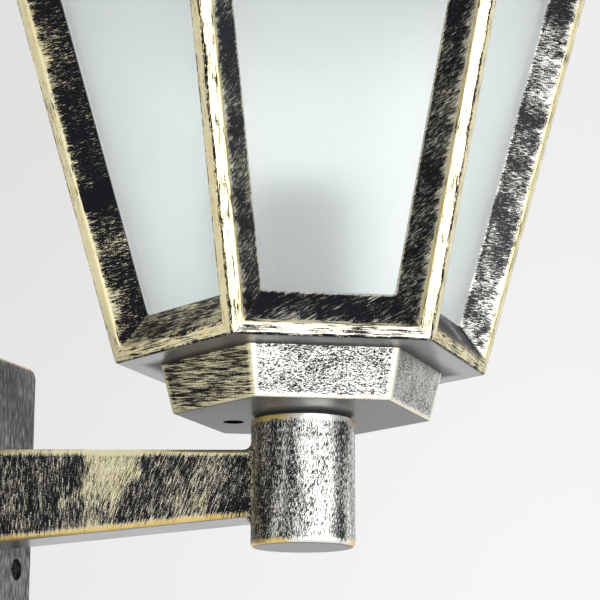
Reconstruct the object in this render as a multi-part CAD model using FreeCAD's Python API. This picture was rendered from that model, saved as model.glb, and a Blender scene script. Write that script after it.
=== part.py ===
import FreeCAD, Part
import math
import os

# Six-sided outdoor wall lantern: a wall plate carries a straight tapered arm, and the arm's
# upright boss carries the lantern. Millimetres, +Z up, +X away from the wall. The origin lies
# on the wall, behind the middle of the wall plate.

V = FreeCAD.Vector
UP = V(0, 0, 1)
OUT = V(1, 0, 0)

# Placing of the lantern
reach = 146.0
lantern_height = 63.0

# Wall plate and its seal
plate_width = 81.6
plate_height = 157.0
plate_depth = 18.0
plate_wall = 3.0
plate_corner_radius = 4.5
plate_edge_radius = 1.6
seal_thickness = 2.0
seal_width = 5.0
seal_corner_radius = 1.5
plate_screw_spacing = 57.6
plate_screw_head = 7.8
plate_screw_sunk = 1.0
sink_play = 0.4
earth_boss_diameter = 10.0
earth_boss_height = 8.0
earth_boss_side = 26.0
earth_boss_drop = 50.0

# Wall bracket
bracket_thickness = 2.0
bracket_bar_length = 124.0
bracket_bar_width = 20.0
bracket_base_width = 40.0
bracket_strap_width = 20.0
bracket_ear_length = 15.0
bracket_ear_gap = 2.0
wall_screw_spacing = 96.0
wall_slot_width = 5.0
wall_slot_length = 13.0

# Terminal block
block_width = 30.0
block_height = 17.0
block_depth = 12.0
block_drop = 27.0
pole_pitch = 10.0
pole_bore = 3.4
pole_well = 4.6
pole_well_spacing = 9.0
pole_screw_diameter = 4.0
pole_screw_length = 5.0

# Screws: thread, head and head height, and the play of a shank in its hole
m3_thread = 3.0
m3_head = 5.6
m3_head_height = 2.0
m4_thread = 4.0
m4_head = 8.0
m4_head_height = 2.6
m5_thread = 5.0
m5_head = 9.5
m5_head_height = 3.2
hole_play = 0.2
recess_width = 0.9
recess_depth = 1.3
recess_share = 0.56
crown_share = 0.7
plate_screw_length = 14.0
arm_screw_length = 16.0
collar_screw_length = 16.0
cage_screw_length = 13.0
clip_screw_length = 7.0
earth_screw_length = 8.0
washer_diameter = 9.0
washer_thickness = 1.0

# Arm with its boss
arm_width = 22.0
arm_wall_height = 35.2
arm_axis_height = 21.4
arm_edge_radius = 1.8
arm_root_fillet = 2.8
arm_duct_diameter = 14.0
arm_screw_spacing = 23.0
boss_diameter = 36.0
boss_length = 43.7
boss_bore = 19.0
boss_floor = 5.0
boss_edge_radius = 1.4
boss_seal_thickness = 1.4
boss_seal_step = 1.2

# Collar between the boss and the cage
collar_height = 17.0
collar_top_radius = 49.8
collar_bottom_radius = 45.3
collar_wall = 4.0
collar_floor = 3.5
collar_edge_radius = 0.8
collar_wire_hole = 14.0
collar_screw_circle = 27.5
drain_hole = 7.4
drain_offset = 26.0
post_diameter = 9.0
post_circle = 66.0

# Cage: corner radii of its six sides, its faces and its windows
cage_height = 160.0
cage_base_radius = 65.5
cage_top_radius = 111.9
cage_depth = 10.0
cage_floor = 4.0
cage_rim = 4.2
post_bevel = 8.3
sill_bevel = 10.0
head_rim = 8.0
head_bevel = 10.0
window_corner_radius = 1.5
cage_edge_radius = 1.1
window_edge_radius = 0.7
cage_opening = 52.0
lug_width = 18.0
lug_thickness = 3.0
lug_height = 10.0
tab_reach = 18.0
tab_thickness = 6.0

# Panes and their clips
pane_thickness = 4.0
pane_overlap = 3.5
seat_gap = 0.3
clip_width = 11.0
clip_thickness = 1.0
clip_foot = 11.0
clip_tongue = 9.0

# Lampholder and its strap
strap_length = 74.0
strap_width = 18.0
strap_thickness = 1.5
strap_screw_spacing = 62.0
holder_base_radius = 15.0
holder_shoulder_radius = 20.0
holder_shoulder_height = 11.0
holder_base_height = 24.0
holder_skirt_radius = 22.0
holder_skirt_height = 32.5
holder_skirt_edge = 1.5
shell_bore = 26.6
shell_wall = 0.6
shell_play = 0.3
shell_drop = 2.0
contact_width = 6.0
contact_length = 17.0
contact_rise = 5.0
contact_thickness = 0.8
nipple_diameter = 10.0
nipple_bore = 7.0
nipple_length = 17.0
nipple_depth = 9.0
nut_flats = 14.0
nut_height = 3.0

# Roof, its bar and the finial
roof_seal_thickness = 1.5
roof_skirt_drop = 6.0
roof_skirt_play = 0.7
roof_fascia = 4.5
roof_rise = 44.0
roof_top_radius = 24.0
roof_wall = 3.0
roof_edge_radius = 1.2
roof_ledge = 8.0
bar_width = 14.0
bar_thickness = 2.0
bar_end_play = 2.4
bar_screw_inset = 6.0
bar_screw_length = 9.0
stud_diameter = 6.0
stud_engagement = 14.0
stud_nut_flats = 10.0
stud_nut_height = 5.0
finial_base_radius = 15.0
finial_base_height = 5.0
finial_neck_radius = 7.0
finial_neck_height = 7.0
finial_ball_radius = 11.0

# Worked-out places
HALF_SIDE = math.radians(30)
SAME_PLACE = 0.02
plate_front = seal_thickness + plate_depth
plate_inside = plate_front - plate_wall
collar_bottom = -collar_height
boss_top = collar_bottom - boss_seal_thickness
boss_bottom = boss_top - boss_length
arm_level = lantern_height + (boss_top + boss_bottom) / 2
cage_flare = (cage_top_radius - cage_base_radius) / cage_height
face_lean = math.atan(cage_flare * math.cos(HALF_SIDE))
face_length = cage_height / math.cos(face_lean)
face_taper = cage_flare * math.cos(face_lean) / 2
face_inward = V(-math.cos(face_lean), 0, math.sin(face_lean))
cage_inset = cage_depth / math.cos(face_lean) / math.cos(HALF_SIDE)
bar_low = cage_height - bar_thickness
bar_room = cage_base_radius + cage_flare * bar_low - cage_inset - bar_width / 2 * math.tan(HALF_SIDE)
bar_length = 2 * (bar_room - bar_end_play)
bar_screw_spacing = bar_length - 2 * bar_screw_inset
pane_names = {
    0: "pane_front",
    60: "pane_front_right",
    120: "pane_rear_right",
    180: "pane_rear",
    240: "pane_rear_left",
    300: "pane_front_left",
}
screw_turns = (0, 120, 240)


def save(name, *solids):
    """Write one named piece, or a group of like solids."""
    shape = solids[0] if len(solids) == 1 else Part.makeCompound(list(solids))
    shape.exportStep("parts/" + name + ".step")


def on_lantern(shape):
    """Carry a shape from the lantern's own axis to its place on the arm."""
    return shape.translated(V(reach, 0, lantern_height))


def turned(shape, angle):
    """Turn a shape about the lantern's own axis."""
    copy = shape.copy()
    copy.rotate(V(0, 0, 0), UP, angle)
    return copy


def polar(circle, angle, z=0.0):
    """A point on a circle of the given diameter about the lantern's own axis."""
    turn = math.radians(angle)
    return V(circle / 2 * math.cos(turn), circle / 2 * math.sin(turn), z)


def cylinder(diameter, start, direction, length):
    """A round bar from a start point along a direction."""
    return Part.makeCylinder(diameter / 2, length, start, direction)


def rounded_wire(points, radius):
    """A closed flat outline through the points, with each corner rounded."""
    edges = []
    ends = []
    for index, corner in enumerate(points):
        back = (points[index - 1] - corner).normalize()
        ahead = (points[(index + 1) % len(points)] - corner).normalize()
        half = back.getAngle(ahead) / 2
        run = radius / math.tan(half)
        middle = (back + ahead).normalize() * (radius / math.sin(half) - radius)
        ends.append((corner + back * run, corner + middle, corner + ahead * run))
    for index, (start, bend, stop) in enumerate(ends):
        edges.append(Part.LineSegment(ends[index - 1][2], start).toShape())
        edges.append(Part.Arc(start, bend, stop).toShape())
    return Part.Wire(edges)


def wall_outline(width, height, radius, x):
    """A rounded rectangle parallel to the wall, at a distance from it."""
    corners = [
        V(x, -width / 2, -height / 2),
        V(x, width / 2, -height / 2),
        V(x, width / 2, height / 2),
        V(x, -width / 2, height / 2),
    ]
    return Part.Face(rounded_wire(corners, radius))


def hexagon(radius, z):
    """A six-sided outline with corners towards +Y and -Y."""
    corners = [polar(2 * radius, 30 + 60 * side, z) for side in range(7)]
    return Part.makePolygon(corners)


def hex_block(low_radius, low, high_radius, high):
    """A six-sided block between two levels."""
    return Part.makeLoft([hexagon(low_radius, low), hexagon(high_radius, high)], True, True)


def revolved(profile):
    """A turned solid from (radius, level) points about the lantern's own axis."""
    points = [V(radius, 0, level) for radius, level in profile]
    face = Part.Face(Part.makePolygon(points + points[:1]))
    return face.revolve(V(0, 0, 0), UP, 360)


def hex_nut(flats, height, bore, z):
    """A six-sided nut standing on a level, on the lantern's own axis."""
    radius = flats / 2 / math.cos(HALF_SIDE)
    body = hex_block(radius, z, radius, z + height)
    return body.cut(cylinder(bore, V(0, 0, z), UP, height))


def aimed(shape, seat, direction):
    """Carry a turned shape to a seat, so that its lower end points along a direction."""
    shape.Placement = FreeCAD.Placement(seat, FreeCAD.Rotation(V(0, 0, -1), direction))
    return shape


def crossed(body, head, top):
    """Cut a cross recess into the top of a screw's head."""
    slot_length = head * recess_share
    slot = Part.makeBox(slot_length, recess_width, recess_depth)
    slot.translate(V(-slot_length / 2, -recess_width / 2, top - recess_depth))
    for angle in (0, 90):
        body = body.cut(turned(slot, angle))
    return body


def screw(seat, direction, thread, head, head_height, length):
    """A cross-recessed pan screw: the seat is under its head, the direction points to its tip."""
    body = revolved([
        (0, 0),
        (head / 2, 0),
        (head / 2, head_height / 2),
        (head / 2 * crown_share, head_height),
        (0, head_height),
    ])
    body = crossed(body, head, head_height)
    body = body.fuse(cylinder(thread, V(0, 0, 0), V(0, 0, -1), length))
    return aimed(body, seat, direction).removeSplitter()


def sunk_screw(seat, direction, thread, head, sunk, length):
    """A cross-recessed screw with a conical head that lies sunk below the seat's face."""
    body = revolved([
        (0, -sunk),
        (head / 2, -sunk),
        (thread / 2, -sunk - (head - thread) / 2),
        (thread / 2, -length),
        (0, -length),
    ])
    return aimed(crossed(body, head, -sunk), seat, direction)


def sink(seat, direction, thread, head, sunk):
    """The room that a sunk screw's head takes out of a face, down to the hole for its shank."""
    mouth = sunk - sink_play / 2
    radius = (head + sink_play) / 2
    hole = (thread + hole_play) / 2
    low = -mouth - (radius - hole)
    room = revolved([(0, 0), (radius, 0), (radius, -mouth), (hole, low), (0, low)])
    return aimed(room, seat, direction)


def face_point(side, along, depth):
    """A point on the cage's outward face, by its place across, up and in from the outside."""
    x = cage_base_radius * math.cos(HALF_SIDE) + along * math.sin(face_lean)
    return V(x, side, along * math.cos(face_lean)) + face_inward * depth


def along_at(level, depth):
    """How far up a cage face a level lies, at a depth behind the face."""
    return (level - depth * math.sin(face_lean)) / math.cos(face_lean)


def face_outline(side_inset, low, high, depth, radius):
    """A tapered outline on a cage face, set in from the two corner lines."""
    across = side_inset * math.hypot(1, face_taper)
    low_half = cage_base_radius / 2 + low * face_taper - across
    high_half = cage_base_radius / 2 + high * face_taper - across
    corners = [
        face_point(-low_half, low, depth),
        face_point(low_half, low, depth),
        face_point(high_half, high, depth),
        face_point(-high_half, high, depth),
    ]
    return rounded_wire(corners, radius)


def window_outline(depth):
    """The window's outline at a depth: it narrows along the bevels from the outside inwards."""
    share = depth / cage_depth
    high = face_length - head_rim - head_bevel * share
    return face_outline(
        cage_rim + post_bevel * share, cage_rim + sill_bevel * share, high, depth, window_corner_radius
    )


def face_block(profile, width):
    """A block across a cage face, from an (along, depth) outline and a width."""
    points = [face_point(-width / 2, along, depth) for along, depth in profile]
    return Part.Face(Part.makePolygon(points + points[:1])).extrude(V(0, width, 0))


def edges_where(shape, test):
    """The edges of a shape whose middle point passes a test."""
    return [edge for edge in shape.Edges if test(edge.valueAt(sum(edge.ParameterRange) / 2), edge)]


def build_wall_seal():
    """Rubber seal between the wall and the plate's rim."""
    outer = wall_outline(plate_width, plate_height, plate_corner_radius, 0)
    inner = wall_outline(
        plate_width - 2 * seal_width,
        plate_height - 2 * seal_width,
        seal_corner_radius,
        0,
    )
    save("wall_seal", outer.cut(inner).extrude(OUT * seal_thickness))


def build_wall_plate():
    """Cast canopy: a dished plate, open to the wall."""
    outer = wall_outline(plate_width, plate_height, plate_corner_radius, seal_thickness)
    plate = outer.extrude(OUT * plate_depth)
    plate = plate.makeFillet(
        plate_edge_radius, edges_where(plate, lambda point, edge: abs(point.x - plate_front) < SAME_PLACE)
    )
    hollow = wall_outline(
        plate_width - 2 * plate_wall,
        plate_height - 2 * plate_wall,
        plate_corner_radius - plate_wall,
        seal_thickness,
    )
    plate = plate.cut(hollow.extrude(OUT * (plate_depth - plate_wall)))
    boss_start = V(plate_inside - earth_boss_height, -earth_boss_side, -earth_boss_drop)
    plate = plate.fuse(cylinder(earth_boss_diameter, boss_start, OUT, earth_boss_height + plate_wall / 2))
    plate = plate.cut(cylinder(m4_thread + hole_play, boss_start, OUT, earth_boss_height))
    for side in (-1, 1):
        screw_hole = V(plate_inside, side * plate_screw_spacing / 2, 0)
        plate = plate.cut(cylinder(m4_thread + hole_play, screw_hole, OUT, plate_wall))
        screw_mouth = V(plate_front, side * plate_screw_spacing / 2, 0)
        plate = plate.cut(sink(screw_mouth, -OUT, m4_thread, plate_screw_head, plate_screw_sunk))
        arm_hole = V(plate_inside, 0, arm_level + side * arm_screw_spacing / 2)
        plate = plate.cut(cylinder(m5_thread + hole_play, arm_hole, OUT, plate_wall))
    plate = plate.cut(cylinder(arm_duct_diameter, V(plate_inside, 0, arm_level), OUT, plate_wall))
    save("wall_plate", plate.removeSplitter())


def build_wall_bracket():
    """Pressed steel cross: an upright bar on the wall, and a strap with two raised ears."""
    bar = Part.makeBox(bracket_thickness, bracket_bar_width, bracket_bar_length)
    bar.translate(V(0, -bracket_bar_width / 2, -bracket_bar_length / 2))
    top = plate_inside - bracket_ear_gap
    half = bracket_base_width / 2
    tip = half + bracket_ear_length
    strap = bar
    for side in (-1, 1):
        profile = [
            (0, 0),
            (0, half),
            (top - bracket_thickness, half),
            (top - bracket_thickness, tip),
            (top, tip),
            (top, half - bracket_thickness),
            (bracket_thickness, half - bracket_thickness),
            (bracket_thickness, 0),
        ]
        points = [V(x, side * y, -bracket_strap_width / 2) for x, y in profile]
        limb = Part.Face(Part.makePolygon(points + points[:1])).extrude(UP * bracket_strap_width)
        strap = strap.fuse(limb)
        ear_hole = V(0, side * plate_screw_spacing / 2, 0)
        strap = strap.cut(cylinder(m4_thread + hole_play, ear_hole, OUT, top))
        slot_run = wall_slot_length - wall_slot_width
        slot_low = V(0, 0, side * wall_screw_spacing / 2 - slot_run / 2)
        for end in (slot_low, slot_low + UP * slot_run):
            strap = strap.cut(cylinder(wall_slot_width, end, OUT, bracket_thickness))
        slot = Part.makeBox(bracket_thickness, wall_slot_width, slot_run)
        strap = strap.cut(slot.translated(slot_low - V(0, wall_slot_width / 2, 0)))
        block_hole = V(0, side * pole_pitch / 2, -block_drop)
        strap = strap.cut(cylinder(m3_thread + hole_play, block_hole, OUT, bracket_thickness))
    save("wall_bracket", strap.removeSplitter())


def build_plate_screws():
    """Two sunk screws through the plate's face into the bracket's ears."""
    screws = []
    for side in (-1, 1):
        seat = V(plate_front, side * plate_screw_spacing / 2, 0)
        screws.append(
            sunk_screw(seat, -OUT, m4_thread, plate_screw_head, plate_screw_sunk, plate_screw_length)
        )
    save("plate_screws", *screws)


def build_terminal_block():
    """Three-pole terminal block on the bracket's bar, with its clamp and fixing screws."""
    block = Part.makeBox(block_depth, block_width, block_height)
    block.translate(V(bracket_thickness, -block_width / 2, -block_drop - block_height / 2))
    front = bracket_thickness + block_depth
    clamp_screws = []
    for pole in (-1, 0, 1):
        side = pole * pole_pitch
        wire = V(bracket_thickness + block_depth / 3, side, -block_drop - block_height / 2)
        block = block.cut(cylinder(pole_bore, wire, UP, block_height))
        for end in (-1, 1):
            level = -block_drop + end * pole_well_spacing / 2
            well_depth = block_depth - block_depth / 3
            well = V(front, side, level)
            block = block.cut(cylinder(pole_well, well, -OUT, well_depth))
            start = V(front - well_depth + pole_bore / 2, side, level)
            clamp_screws.append(cylinder(pole_screw_diameter, start, OUT, pole_screw_length))
    fixings = []
    for side in (-1, 1):
        seat = V(front, side * pole_pitch / 2, -block_drop)
        block = block.cut(cylinder(m3_thread + hole_play, seat, -OUT, block_depth))
        fixings.append(screw(seat, -OUT, m3_thread, m3_head, m3_head_height, front))
    save("terminal_block", block)
    save("terminal_screws", *clamp_screws)
    save("block_screws", *fixings)


def build_earth_terminal():
    """Earth screw and its washer on the plate's inner boss."""
    face = V(plate_inside - earth_boss_height, -earth_boss_side, -earth_boss_drop)
    seat = face - OUT * washer_thickness
    washer = cylinder(washer_diameter, seat, OUT, washer_thickness)
    save("earth_washer", washer.cut(cylinder(m4_thread + hole_play, seat, OUT, washer_thickness)))
    save("earth_screw", screw(seat, OUT, m4_thread, m4_head, m4_head_height, earth_screw_length))


def build_arm():
    """Cast arm and boss in one piece, cored for the lead, with its two fixing screws."""
    profile = [
        V(plate_front, -arm_width / 2, arm_level - arm_wall_height / 2),
        V(reach, -arm_width / 2, arm_level - arm_axis_height / 2),
        V(reach, -arm_width / 2, arm_level + arm_axis_height / 2),
        V(plate_front, -arm_width / 2, arm_level + arm_wall_height / 2),
    ]
    arm = Part.Face(Part.makePolygon(profile + profile[:1])).extrude(V(0, arm_width, 0))

    def is_long_edge(point):
        """The arm's four edges from the plate to the boss."""
        return plate_front + SAME_PLACE < point.x < reach - SAME_PLACE

    arm = arm.makeFillet(
        arm_edge_radius, edges_where(arm, lambda point, edge: is_long_edge(point))
    )
    foot = V(reach, 0, lantern_height + boss_bottom)
    arm = arm.fuse(cylinder(boss_diameter, foot, UP, boss_length)).removeSplitter()

    def is_root(point, edge):
        """The lines where the arm runs into the boss."""
        on_boss = abs(math.hypot(point.x - reach, point.y) - boss_diameter / 2) < SAME_PLACE
        return on_boss and abs(point.z - arm_level) < arm_wall_height / 2 and point.x < reach - SAME_PLACE

    arm = arm.makeFillet(arm_root_fillet, edges_where(arm, is_root))
    arm = arm.makeFillet(
        boss_edge_radius, edges_where(arm, lambda point, edge: abs(point.z - foot.z) < SAME_PLACE)
    )
    bore_start = foot + UP * boss_floor
    arm = arm.cut(cylinder(boss_bore, bore_start, UP, boss_length))
    arm = arm.cut(cylinder(arm_duct_diameter, V(plate_front, 0, arm_level), OUT, reach - plate_front))
    fixings = []
    for side in (-1, 1):
        seat = V(plate_inside, 0, arm_level + side * arm_screw_spacing / 2)
        arm = arm.cut(cylinder(m5_thread + hole_play, seat, OUT, arm_screw_length + hole_play))
        fixings.append(screw(seat, OUT, m5_thread, m5_head, m5_head_height, arm_screw_length))
    screw_depth = collar_screw_length - collar_floor - boss_seal_thickness + hole_play
    for angle in screw_turns:
        start = polar(collar_screw_circle, angle + 60, boss_top - screw_depth)
        arm = arm.cut(on_lantern(cylinder(m4_thread + hole_play, start, UP, screw_depth)))
    save("arm", arm)
    save("arm_screws", *fixings)


def build_boss_seal():
    """Rubber ring between the boss and the collar, set back from the boss's edge."""
    base = V(0, 0, boss_top)
    ring = cylinder(boss_diameter - 2 * boss_seal_step, base, UP, boss_seal_thickness)
    ring = ring.cut(cylinder(boss_bore, base, UP, boss_seal_thickness))
    for angle in screw_turns:
        start = polar(collar_screw_circle, angle + 60, boss_top)
        ring = ring.cut(cylinder(m4_thread + hole_play, start, UP, boss_seal_thickness))
    save("boss_seal", on_lantern(ring))


def build_collar():
    """Cast six-sided cup on the boss, open upwards, with posts for the cage's screws."""
    collar = hex_block(collar_bottom_radius, collar_bottom, collar_top_radius, 0)
    collar = collar.makeFillet(
        collar_edge_radius, edges_where(collar, lambda point, edge: point.z < -SAME_PLACE)
    )
    inset = collar_wall / math.cos(HALF_SIDE)
    taper = (collar_top_radius - collar_bottom_radius) / collar_height
    floor_level = collar_bottom + collar_floor
    floor_radius = collar_bottom_radius + taper * collar_floor - inset
    cup = collar.cut(hex_block(floor_radius, floor_level, collar_top_radius - inset, 0))
    for angle in screw_turns:
        foot = polar(post_circle, angle, floor_level - collar_floor / 2)
        post = cylinder(post_diameter, foot, UP, collar_height - collar_floor / 2)
        cup = cup.fuse(post.common(collar))
    tapped = cage_screw_length - cage_floor + hole_play
    for angle in screw_turns:
        cup = cup.cut(cylinder(m4_thread + hole_play, polar(post_circle, angle, -tapped), UP, tapped))
        seat = polar(collar_screw_circle, angle + 60, collar_bottom)
        cup = cup.cut(cylinder(m4_thread + hole_play, seat, UP, collar_floor))
    cup = cup.cut(cylinder(collar_wire_hole, V(0, 0, collar_bottom), UP, collar_floor))
    cup = cup.cut(cylinder(drain_hole, V(-drain_offset, 0, collar_bottom), UP, collar_floor))
    save("collar", on_lantern(cup.removeSplitter()))
    screws = []
    for angle in screw_turns:
        seat = polar(collar_screw_circle, angle + 60, floor_level)
        body = screw(seat, -UP, m4_thread, m4_head, m4_head_height, collar_screw_length)
        screws.append(on_lantern(body))
    save("collar_screws", *screws)


def build_cage():
    """Cast six-sided cage in one piece: floor, posts and head, with a bevelled window in each face."""
    cage = hex_block(cage_base_radius, 0, cage_top_radius, cage_height)
    cage = cage.makeFillet(
        cage_edge_radius, edges_where(cage, lambda point, edge: point.z < cage_height - SAME_PLACE)
    )
    floor_radius = cage_base_radius + cage_flare * cage_floor - cage_inset
    hollow = hex_block(floor_radius, cage_floor, cage_top_radius - cage_inset, cage_height)
    cage = cage.cut(hollow)
    lug_front = cage_depth + pane_thickness + seat_gap
    lug_back = lug_front + lug_thickness
    lug_profile = [
        (along_at(cage_floor / 2, lug_front), lug_front),
        (lug_height, lug_front),
        (lug_height, lug_back),
        (along_at(cage_floor / 2, lug_back), lug_back),
    ]
    lug = face_block(lug_profile, lug_width)
    tab = Part.makeBox(2 * cage_top_radius, tab_reach, tab_thickness)
    tab_edge = cage_top_radius - cage_inset - tab_reach
    tab.translate(V(-cage_top_radius, tab_edge, cage_height - bar_thickness - tab_thickness))
    tab = tab.common(hollow)
    cutter = Part.makeLoft([window_outline(-cage_depth / 5), window_outline(cage_depth * 1.2)], True, True)
    for angle in pane_names:
        cage = cage.cut(turned(cutter, angle))
    rim_edges = edges_where(cage, lambda point, edge: is_window_rim(edge))
    cage = cage.makeFillet(window_edge_radius, rim_edges)
    clip_hole = face_point(0, clip_screw_level(), cage_depth)
    for angle in pane_names:
        cage = cage.fuse(turned(lug, angle))
        clip_bore = clip_screw_length - clip_thickness + hole_play
        bore = cylinder(m3_thread + hole_play, clip_hole, -face_inward, clip_bore)
        cage = cage.cut(turned(bore, angle))
    for angle in (0, 180):
        cage = cage.fuse(turned(tab, angle))
        tapped = polar(bar_screw_spacing, angle + 90, cage_height - bar_thickness - tab_thickness)
        cage = cage.cut(cylinder(m4_thread + hole_play, tapped, UP, tab_thickness))
        strap_hole = polar(strap_screw_spacing, angle + 90)
        cage = cage.cut(cylinder(m4_thread + hole_play, strap_hole, UP, cage_floor))
    for angle in screw_turns:
        cage = cage.cut(cylinder(m4_thread + hole_play, polar(post_circle, angle), UP, cage_floor))
    cage = cage.cut(cylinder(cage_opening, V(0, 0, 0), UP, cage_floor))
    save("cage", on_lantern(cage.removeSplitter()))
    screws = []
    for angle in screw_turns:
        seat = polar(post_circle, angle, cage_floor)
        body = screw(seat, -UP, m4_thread, m4_head, m4_head_height, cage_screw_length)
        screws.append(on_lantern(body))
    save("cage_screws", *screws)


def is_window_rim(edge):
    """Whether an edge is part of a window's outline on the outside of the cage."""
    ends = [edge.valueAt(end) for end in edge.ParameterRange]
    for angle in pane_names:
        flat = all(abs(face_depth(turned_point(end, -angle))) < SAME_PLACE for end in ends)
        inside = all(window_clear(turned_point(end, -angle)) for end in ends)
        if flat and inside:
            return True
    return False


def turned_point(point, angle):
    """Turn a point about the lantern's own axis."""
    return FreeCAD.Rotation(UP, angle).multVec(point)


def face_depth(point):
    """How far a point lies in from the cage's outward face."""
    return (point - face_point(0, 0, 0)).dot(face_inward)


def window_clear(point):
    """Whether a point of the face lies well inside its outer edges."""
    along = (point - face_point(0, 0, 0)).dot(V(math.sin(face_lean), 0, math.cos(face_lean)))
    half = cage_base_radius / 2 + along * face_taper
    return cage_rim / 2 < along < face_length - head_rim / 2 and abs(point.y) < half - cage_rim / 2


def clip_screw_level():
    """How far up a face the screw of a pane's clip sits."""
    pane_top = face_length - head_rim - head_bevel + pane_overlap
    return pane_top + seat_gap + clip_foot / 2


def build_panes():
    """Six flat panes, each resting on the cage's floor against the inside of its face."""
    low = along_at(cage_floor + seat_gap, cage_depth)
    high = face_length - head_rim - head_bevel + pane_overlap
    inset = cage_rim + post_bevel - pane_overlap
    outline = face_outline(inset, low, high, cage_depth, window_corner_radius)
    pane = Part.Face(outline).extrude(face_inward * pane_thickness)
    for angle, name in pane_names.items():
        save(name, on_lantern(turned(pane, angle)))


def build_pane_clips():
    """Six stepped spring clips over the panes' top edges, each with its screw."""
    pane_top = face_length - head_rim - head_bevel + pane_overlap
    foot_low = pane_top + seat_gap
    front = cage_depth
    back = cage_depth + pane_thickness + seat_gap
    profile = [
        (foot_low, front),
        (foot_low + clip_foot, front),
        (foot_low + clip_foot, front + clip_thickness),
        (foot_low + clip_thickness, front + clip_thickness),
        (foot_low + clip_thickness, back + clip_thickness),
        (pane_top - clip_tongue, back + clip_thickness),
        (pane_top - clip_tongue, back),
        (foot_low, back),
    ]
    hole = face_point(0, clip_screw_level(), front)
    clip = face_block(profile, clip_width)
    clip = clip.cut(cylinder(m3_thread + hole_play, hole, face_inward, clip_thickness))
    seat = hole + face_inward * clip_thickness
    fixing = screw(seat, -face_inward, m3_thread, m3_head, m3_head_height, clip_screw_length)
    save("pane_clips", *[on_lantern(turned(clip, angle)) for angle in pane_names])
    save("clip_screws", *[on_lantern(turned(fixing, angle)) for angle in pane_names])


def build_lampholder():
    """Lampholder on a strap across the cage's floor, with its shell, contact, nipple and nut."""
    strap_top = cage_floor + strap_thickness
    strap = Part.makeBox(strap_width, strap_length, strap_thickness)
    strap.translate(V(-strap_width / 2, -strap_length / 2, cage_floor))
    strap = strap.cut(cylinder(nipple_diameter + hole_play, V(0, 0, cage_floor), UP, strap_thickness))
    fixings = []
    for angle in (90, 270):
        hole = polar(strap_screw_spacing, angle, cage_floor)
        strap = strap.cut(cylinder(m4_thread + hole_play, hole, UP, strap_thickness))
        seat = polar(strap_screw_spacing, angle, strap_top)
        body = screw(seat, -UP, m4_thread, m4_head, m4_head_height, cage_floor + strap_thickness)
        fixings.append(on_lantern(body))
    save("holder_strap", on_lantern(strap))
    save("strap_screws", *fixings)

    base_top = strap_top + holder_base_height
    skirt_top = base_top + holder_skirt_height
    base = revolved([
        (0, strap_top),
        (holder_base_radius, strap_top),
        (holder_shoulder_radius, strap_top + holder_shoulder_height),
        (holder_shoulder_radius, base_top),
        (0, base_top),
    ])
    base = base.cut(cylinder(nipple_diameter + hole_play, V(0, 0, strap_top), UP, nipple_depth))
    save("holder_base", on_lantern(base))

    skirt_bore = shell_bore / 2 + shell_wall + shell_play
    skirt = revolved([
        (skirt_bore, base_top),
        (holder_skirt_radius, base_top),
        (holder_skirt_radius, skirt_top - holder_skirt_edge),
        (holder_skirt_radius - holder_skirt_edge, skirt_top),
        (skirt_bore, skirt_top),
    ])
    save("holder_skirt", on_lantern(skirt))

    shell_height = holder_skirt_height - shell_drop
    shell = cylinder(shell_bore + 2 * shell_wall, V(0, 0, base_top), UP, shell_height)
    shell = shell.cut(cylinder(shell_bore, V(0, 0, base_top), UP, shell_height))
    save("screw_shell", on_lantern(shell))

    half = contact_length / 2
    profile = [
        (-half, base_top),
        (half, base_top),
        (half, base_top + contact_thickness),
        (-half / 4, base_top + contact_thickness),
        (half / 2, base_top + contact_rise),
        (half / 2 - contact_thickness, base_top + contact_rise),
        (-half / 4 - contact_thickness, base_top + contact_thickness),
        (-half, base_top + contact_thickness),
    ]
    points = [V(x, -contact_width / 2, level) for x, level in profile]
    contact = Part.Face(Part.makePolygon(points + points[:1])).extrude(V(0, contact_width, 0))
    save("centre_contact", on_lantern(contact))

    start = V(0, 0, strap_top + nipple_depth - nipple_length)
    nipple = cylinder(nipple_diameter, start, UP, nipple_length)
    nipple = nipple.cut(cylinder(nipple_bore, start, UP, nipple_length))
    save("holder_nipple", on_lantern(nipple))
    nut = hex_nut(nut_flats, nut_height, nipple_diameter + hole_play, cage_floor - nut_height)
    save("holder_nut", on_lantern(nut))


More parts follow.
